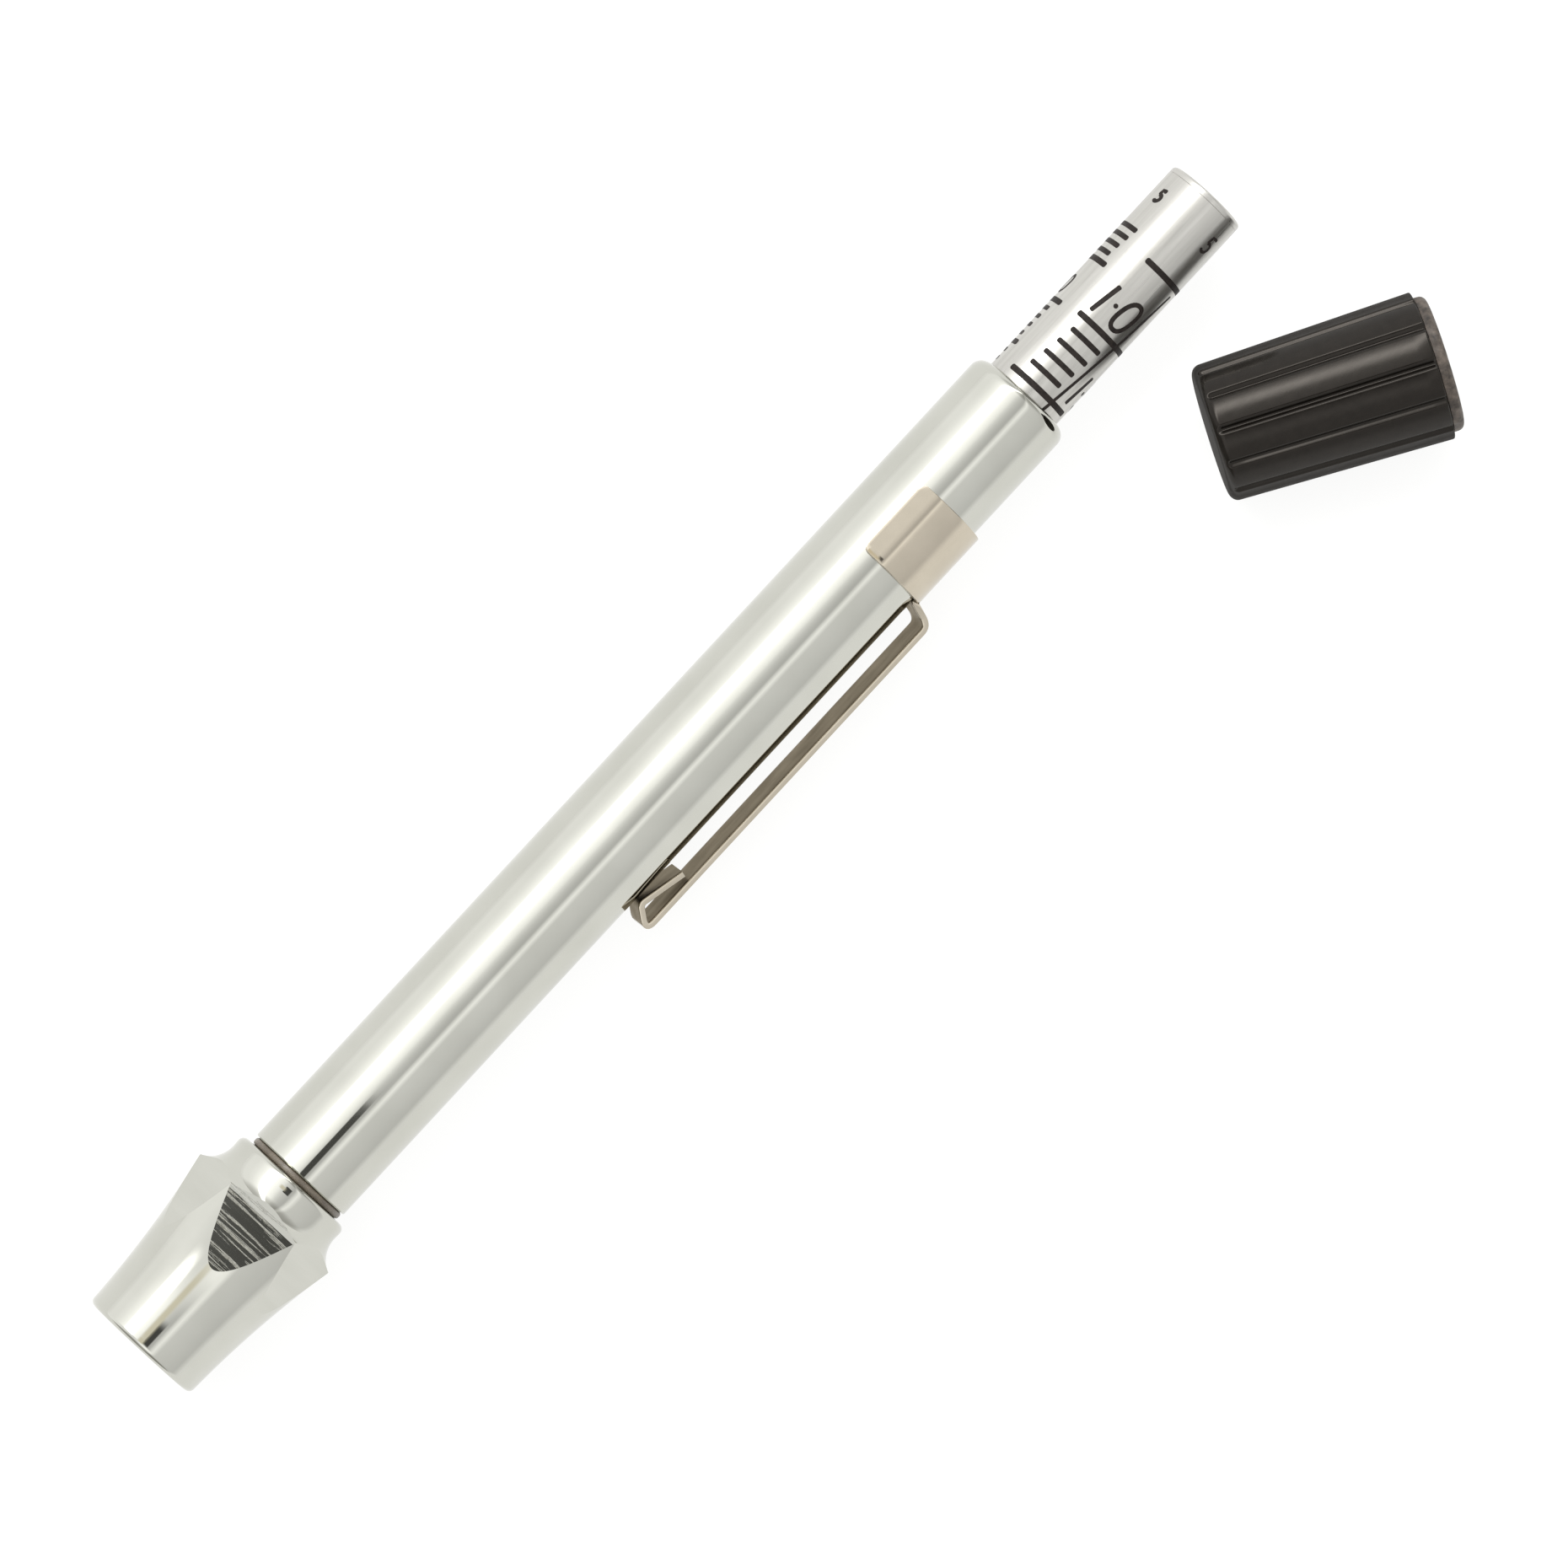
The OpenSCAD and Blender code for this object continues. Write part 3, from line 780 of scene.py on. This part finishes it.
def number(bm, text, x, turn, height=DIGIT_H, width=DIGIT_W):
    """A printed number standing on x, centred on the angle turn, its top towards the tube's end."""
    lean = math.radians(TWIST) * SCALE_R
    cursor = -sum(DIGIT_STEP.get(c, FULL_STEP) for c in text) / 2
    for c in text:
        step = DIGIT_STEP.get(c, FULL_STEP)
        base = math.radians(turn) * SCALE_R
        if c == ".":
            rise = DOT_RISE * height
            dot(bm, x + rise, base + (cursor + step / 2) * height + rise * lean, DOT_R)
        else:
            start = cursor + step / 2 - GLYPH_W / 2
            for line in DIGITS[c]:
                points = [(x + v * height, base + (start + u + v * lean) * height) for u, v in line]
                stroke(bm, points, width)
        cursor += step


def helix_turn(x):
    """Angle of the dividing line at x."""
    return LINE_TURN + LINE_TWIST * (x - LINE_X)


def psi_turn(x):
    """Angle where the pound marks end at x."""
    return PSI_TURN + TWIST * (x - PSI_X)


def tick(bm, x, start, end, width):
    """A mark round the tube from one angle to another."""
    steps = max(3, int(abs(end - start) / 4))
    turns = [math.radians(start + (end - start) * i / steps) for i in range(steps + 1)]
    stroke(bm, [(x, turn * SCALE_R) for turn in turns], width)


def print_bar_scale(bm):
    """Marks every 0.1 bar from 1.1, long ones every 0.5, and the helical line between marks and numbers."""
    for tenth in range(5, 36):
        x = BAR_ZERO - BAR_PITCH * tenth / 10
        if tenth % 5 == 0:
            tick(bm, x, LONG_START + TWIST * (x - LINE_X), helix_turn(x) + LONG_PAST, LONG_W)
        elif tenth > 10:
            tick(bm, x, helix_turn(x) + TENTH_START, helix_turn(x) + TENTH_END, SHORT_W)
    number(bm, "1.0", BAR_ZERO - BAR_PITCH + 0.74, 12.2)
    number(bm, "5", BAR_ZERO - 3.8, 50, 1.9, 0.36)
    for half in range(3, 8):
        x = BAR_ZERO - BAR_PITCH * half / 2
        number(bm, f"{half / 2:.1f}", x + BAR_NUMBER_X, helix_turn(x) + BAR_NUMBER_PAST)
    x0 = BAR_ZERO - BAR_PITCH * 3.5
    x1 = BAR_ZERO - BAR_PITCH / 2 - 0.8
    steps = 60
    line = [x0 + (x1 - x0) * i / steps for i in range(steps + 1)]
    stroke(bm, [(x, math.radians(helix_turn(x)) * SCALE_R) for x in line], LINE_W)


def print_psi_scale(bm):
    """Marks for every pound, longer ones every five, on the far side."""
    for psi in [*range(6, 11), *range(15, 51)]:
        x = PSI_ZERO - PSI_PITCH * psi
        end = psi_turn(x)
        if psi % 5 == 0:
            tick(bm, x, end - PSI_LONG_BEFORE, end + PSI_LONG_PAST, LONG_W)
        else:
            tick(bm, x, end - PSI_MARK, end, SHORT_W)
    number(bm, "5", PSI_ZERO - 3.2, -52, 1.45, 0.5)
    number(bm, "10", PSI_ZERO - PSI_PITCH * 10 - 4.6, -88, 2.3, PSI_DIGIT_W)
    for tens in range(2, 6):
        x = PSI_ZERO - PSI_PITCH * 10 * tens
        turn = psi_turn(x) - PSI_NUMBER_BEFORE
        number(bm, f"{tens * 10}", x + PSI_NUMBER_X, turn, PSI_DIGIT_H, PSI_DIGIT_W)


def make_printing():
    """Both scales as one piece of slightly raised ink."""
    bm = bmesh.new()
    print_bar_scale(bm)
    print_psi_scale(bm)
    marks = finish_mesh("scale_printing", bm, sharp=30)
    piece_of(marks, "scale", "scale_metal", INK)


make_scale_tube()
make_end_plug()
make_printing()


# ---------------------------------------------------------------- main spring

SPRING_TURNS = 26
WIRE_D = 0.56
TIGHT_PITCH = WIRE_D * 1.08
COIL_R = (SCALE_R + SPIGOT_R) / 2
CLOSED_TURNS = 1.5


def make_spring():
    """Round wire coil with closed ends, squeezed between the piston and its seat."""
    bm = bmesh.new()
    per_turn = 24
    sides = 8
    x0 = SPRING_X0 + WIRE_D / 2
    x1 = SPRING_X1 - WIRE_D / 2
    loose = (x1 - x0 - 2 * CLOSED_TURNS * TIGHT_PITCH) / (SPRING_TURNS - 2 * CLOSED_TURNS)
    rows = []
    for i in range(SPRING_TURNS * per_turn + 1):
        u = i / per_turn
        closed = min(u, CLOSED_TURNS) + max(u - (SPRING_TURNS - CLOSED_TURNS), 0)
        x = x0 + closed * TIGHT_PITCH + (u - closed) * loose
        turn = math.tau * u
        ring = []
        for k in range(sides):
            side = math.tau * k / sides
            r = COIL_R + WIRE_D / 2 * math.cos(side)
            along = x + WIRE_D / 2 * math.sin(side)
            ring.append(bm.verts.new((along, r * math.cos(turn), r * math.sin(turn))))
        rows.append(ring)
    grid_faces(bm, rows)
    bm.faces.new(rows[0])
    bm.faces.new(rows[-1])
    spring = finish_mesh("spring_coil", bm, sharp=60)
    spring.data.materials.append(STEEL)
    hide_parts("main_spring")
    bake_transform(spring)


make_spring()


# ---------------------------------------------------------------- end cap

GROOVES = 12
GROOVE_HALF_W = 0.54
GROOVE_DEPTH = 0.38
GROOVE_TURN = math.radians(1.5)
GROOVE_SHARES = (-1.25, -1, -0.8, -0.6, -0.4, -0.2, 0, 0.2, 0.4, 0.6, 0.8, 1, 1.25)
CAP_CROWN = 0.12
CAP_EDGE = 0.15
CAP_FLOOR = 3.0
LINER_R = 5.65
LINER_OUT = 6.1
LINER_LIP_R = 6.63
LINER_LIP_T = 1.25
LINER_ROUND = 0.7
LINER_GAP = 0.02
WEAR = 0.035


def cap_radius(x):
    return CAP_R0 + (x - CAP_ROUND) * math.tan(CAP_TAPER)


def make_cap():
    """Fluted cap: broad rounded ribs parted by twelve narrow grooves that run out at the mouth."""
    bm = bmesh.new()
    pitch = math.tau / GROOVES
    half_w = GROOVE_HALF_W / CAP_R1
    in_groove = [half_w * share for share in GROOVE_SHARES]
    wide = 10
    on_rib = [in_groove[-1] + (pitch - 2 * in_groove[-1]) * i / wide for i in range(1, wide)]
    turns = [GROOVE_TURN + pitch * g + t for g in range(GROOVES) for t in in_groove + on_rib]

    def groove(turn):
        off = (turn - GROOVE_TURN + pitch / 2) % pitch - pitch / 2
        share = min(abs(off) / half_w, 1)
        return GROOVE_DEPTH * math.cos(share * math.pi / 2) ** 2

    def row(x, r, depth):
        around = [(r - groove(t) * depth, t) for t in turns]
        return [bm.verts.new((x, -radius * math.sin(t), radius * math.cos(t))) for radius, t in around]

    rows = [[bm.verts.new((0, 0, 0))], row(0.01, 2.2, 0), row(CAP_CROWN * 0.4, 4.2, 0)]
    for x, r in arc((CAP_ROUND, CAP_R0 - CAP_ROUND), CAP_ROUND, 176, 90, 12):
        sunk = CAP_CROWN * 0.5 * (1 - smoothstep(0, CAP_ROUND, x))
        rows.append(row(x + sunk, r, smoothstep(0.35, CAP_ROUND + 0.1, x)))
    steps = 16
    for i in range(1, steps + 1):
        x = CAP_ROUND + (CAP_LEN - CAP_EDGE - CAP_ROUND) * i / steps
        rows.append(row(x, cap_radius(x), 1))
    rows.append(row(CAP_LEN - CAP_EDGE * 0.3, CAP_R1 - CAP_EDGE * 0.3, 1))
    rows.append(row(CAP_LEN, CAP_R1 - CAP_EDGE, 1))
    rows += [row(CAP_LEN, LINER_OUT, 0), row(CAP_FLOOR, LINER_OUT, 0), [bm.verts.new((CAP_FLOOR, 0, 0))]]
    grid_faces(bm, rows)
    cap = finish_mesh("cap_shell", bm, sharp=50, matrix=CAP_MATRIX)
    piece_of(cap, "cap", "black_plastic", BLACK, "end_cap")


def make_liner():
    """Rubber sleeve inside the cap; its lip stands out of the mouth, slightly uneven with wear."""
    x1 = CAP_LEN + LINER_LIP_T
    x0 = CAP_FLOOR + LINER_GAP
    outline = [(x0, LINER_R), (x0, LINER_OUT), (CAP_LEN, LINER_OUT),
               (CAP_LEN, LINER_LIP_R - 0.15), (CAP_LEN + 0.12, LINER_LIP_R)]
    outline += arc((x1 - LINER_ROUND, LINER_LIP_R - LINER_ROUND), LINER_ROUND, 90, 8, 8)
    outline += [(x1, LINER_R + 0.2), (x1 - 0.2, LINER_R)]

    def worn(x, turn):
        proud = smoothstep(CAP_LEN - 0.01, CAP_LEN + 0.3, x)
        waves = math.sin(5 * turn + 1.3) * math.sin(11 * turn + 0.4) + 0.5 * math.sin(23 * turn)
        return proud * WEAR * (1 + waves)

    sleeve = lathe(outline, 240, closed=True, dent=worn)
    liner = finish_mesh("cap_sleeve", sleeve, sharp=50, matrix=CAP_MATRIX)
    piece_of(liner, "cap", "brown_rubber", BROWN_RUBBER, "cap_liner")


make_cap()
make_liner()


# ---------------------------------------------------------------- CAD pieces that stay, in their own materials

KEPT = {
    "valve_gasket": BLACK_RUBBER, "piston_cup": BLACK_RUBBER,
    "valve_pin": BRASS, "pin_carrier": BRASS, "piston_body": BRASS,
    "cup_spreader": STEEL, "cup_washer": STEEL, "piston_screw": STEEL, "spring_seat": STEEL,
    "friction_ring": FIBRE, "guide_bush": NYLON, "scale_foot": SATIN,
}
for name, material in KEPT.items():
    mesh = nodes[name].data
    mesh.materials.clear()
    mesh.materials.append(material)


# ---------------------------------------------------------------- table, light and camera

CAMERA_HEIGHT = 1.2
CAMERA_AT = Vector((0.0275, -0.0157, CAMERA_HEIGHT))
LOOK_AT = Vector((0.080, -0.0084, 0))
FRAME_WIDTH = 0.1476
SENSOR = 36.0
BARREL_RISE = math.radians(47.19)


def add_camera():
    """Looks almost straight down, with the barrel rising to the right."""
    data = bpy.data.cameras.new("camera")
    camera = bpy.data.objects.new("camera", data)
    bpy.context.scene.collection.objects.link(camera)
    back = (CAMERA_AT - LOOK_AT).normalized()
    along = (Vector((1, 0, 0)) - back * back.x).normalized()
    across = back.cross(along)
    c, s = math.cos(BARREL_RISE), math.sin(BARREL_RISE)
    right = along * c - across * s
    up = along * s + across * c
    camera.matrix_world = Matrix.Translation(CAMERA_AT) @ Matrix((right, up, back)).transposed().to_4x4()
    data.sensor_width = SENSOR
    data.lens = SENSOR * (CAMERA_AT - LOOK_AT).length / FRAME_WIDTH
    data.clip_start = 0.01
    data.clip_end = 20
    bpy.context.scene.camera = camera


def add_table():
    """A large white floor at the gauge's lowest face."""
    half = 4.0
    bm = bmesh.new()
    bmesh.ops.create_grid(bm, x_segments=4, y_segments=4, size=half)
    bmesh.ops.translate(bm, vec=(0, 0, TABLE_Z * MM), verts=bm.verts)
    mesh = bpy.data.meshes.new("table")
    bm.to_mesh(mesh)
    bm.free()
    table = bpy.data.objects.new("table", mesh)
    mesh.materials.append(floor_paint())
    bpy.context.scene.collection.objects.link(table)


# The room's brightness round the gauge's axis: angle from overhead towards the clip's side, and strength
ROOM = [
    (-180, 1.2), (-91, 1.2), (-88, 1.17), (-82, 1.28), (-70, 1.28), (-60, 1.38), (-50, 1.6), (-44, 1.8),
    (-39, 4.5), (-33, 9.0), (-27, 6.0), (-22, 1.9), (-14, 1.64), (-9, 1.45), (-4, 1.15), (2, 0.93), (9, 0.78),
    (13.5, 0.74), (18, 1.15), (22, 1.42), (26, 1.2), (30, 0.98), (54, 0.91), (75, 0.82), (80, 0.95),
    (86, 1.12), (180, 1.15),
]
# The same past the soft light's near end, where it no longer shows
ROOM_END = [
    (-60, 1.3), (-35, 1.15), (-15, 1.15), (-3, 1.45), (12, 1.55), (22, 1.45), (30, 0.98), (75, 0.82),
    (86, 1.12),
]
ROOM_PEAK = 9.0

# Patches of the room: where each begins, is full, and fades out, along the gauge and round it in degrees
LIGHT_ALONG = (-0.27, -0.13)
DARK_ALONG = (-0.14, -0.115, 0.0065, 0.009)
DARK_TURN = (-3.2, -0.6, 8.5, 11.5)
DARK_CAMERA, DARK_SHARE = (0.008, 0.008, 0.0075), 0.97
WARM_ALONG = (-0.32, -0.2, -0.1, -0.05)
WARM_TURN = (-14, -8, -4, 3)
WARM_WALL, WARM_SHARE = (0.107, 0.099, 0.077), 0.85
NEAR_ALONG, NEAR_SHARE = (0.6, 0.8), 0.75
FAR_ALONG, FAR_SHARE = (0.7, 0.95), 0.5
END_WALL = (0.025, 0.024, 0.02)


class Room:
    """Wires the studio round the gauge out of angle and direction."""

    def __init__(self):
        world = bpy.data.worlds.new("studio")
        bpy.context.scene.world = world
        world.use_nodes = True
        self.tree = world.node_tree
        self.tree.nodes.clear()
        split = self.node("ShaderNodeSeparateXYZ", self.node("ShaderNodeTexCoord").outputs["Generated"])
        self.along = split.outputs["X"]
        flip = self.math("MULTIPLY", split.outputs["Y"], -1)
        self.angle = self.math("MULTIPLY", self.math("ARCTAN2", flip, split.outputs["Z"]), 180 / math.pi)

    def node(self, kind, *inputs):
        node = self.tree.nodes.new(kind)
        for socket, value in zip(node.inputs, inputs):
            if isinstance(value, (int, float)):
                socket.default_value = value
            else:
                self.tree.links.new(value, socket)
        return node

    def math(self, kind, a, b):
        node = self.tree.nodes.new("ShaderNodeMath")
        node.operation = kind
        for socket, value in zip(node.inputs, (a, b)):
            if isinstance(value, (int, float)):
                socket.default_value = value
            else:
                self.tree.links.new(value, socket)
        return node.outputs[0]

    def step(self, value, low, high):
        """0 below low, 1 above high, eased."""
        node = self.tree.nodes.new("ShaderNodeMapRange")
        node.interpolation_type = "SMOOTHSTEP"
        node.inputs["From Min"].default_value = low
        node.inputs["From Max"].default_value = high
        self.tree.links.new(value, node.inputs["Value"])
        return node.outputs["Result"]

    def patch(self, value, up0, up1, down0, down1):
        """1 between up1 and down0, fading out by up0 and down1."""
        rise = self.step(value, up0, up1)
        fall = self.math("SUBTRACT", 1, self.step(value, down0, down1))
        return self.math("MULTIPLY", rise, fall)

    def round_axis(self, stops):
        """Brightness by angle round the axis."""
        ramp = self.tree.nodes.new("ShaderNodeValToRGB")
        elements = ramp.color_ramp.elements
        while len(elements) < len(stops):
            elements.new(0.5)
        for element, (degrees, strength) in zip(elements, stops):
            element.position = (degrees + 180) / 360
            grey = strength / ROOM_PEAK
            element.color = (grey, grey, grey, 1)
        share = self.math("MULTIPLY", self.math("ADD", self.angle, 180), 1 / 360)
        self.tree.links.new(share, ramp.inputs["Fac"])
        return ramp.outputs["Color"]

    def mix(self, share, a, b):
        node = self.tree.nodes.new("ShaderNodeMix")
        node.data_type = "RGBA"
        for name, kind, value in (("Factor", "VALUE", share), ("A", "RGBA", a), ("B", "RGBA", b)):
            socket = next(i for i in node.inputs if i.name == name and i.type == kind)
            if isinstance(value, tuple):
                socket.default_value = (*value, 1)
            else:
                self.tree.links.new(value, socket)
        return next(o for o in node.outputs if o.type == "RGBA")


def add_room():
    """A long soft light on the far side, a greyer wall on the clip's side, and the dark camera overhead."""
    room = Room()
    light_on = room.step(room.along, *LIGHT_ALONG)
    base = room.mix(light_on, room.round_axis(ROOM_END), room.round_axis(ROOM))
    camera = room.math("MULTIPLY", room.patch(room.along, *DARK_ALONG), room.patch(room.angle, *DARK_TURN))
    dark = room.mix(room.math("MULTIPLY", camera, DARK_SHARE), base, DARK_CAMERA)
    warm = room.math("MULTIPLY", room.patch(room.along, *WARM_ALONG), room.patch(room.angle, *WARM_TURN))
    warmed = room.mix(room.math("MULTIPLY", warm, WARM_SHARE), dark, WARM_WALL)
    towards = room.math("MULTIPLY", room.along, -1)
    near_end = room.math("MULTIPLY", room.step(towards, *NEAR_ALONG), NEAR_SHARE)
    far_end = room.math("MULTIPLY", room.step(room.along, *FAR_ALONG), FAR_SHARE)
    seen = room.mix(room.math("ADD", near_end, far_end), warmed, END_WALL)
    background = room.tree.nodes.new("ShaderNodeBackground")
    background.inputs["Strength"].default_value = ROOM_PEAK
    room.tree.links.new(seen, background.inputs["Color"])
    out = room.tree.nodes.new("ShaderNodeOutputWorld")
    room.tree.links.new(background.outputs[0], out.inputs["Surface"])


add_camera()
add_table()
add_room()
bpy.context.scene.view_settings.view_transform = "Standard"
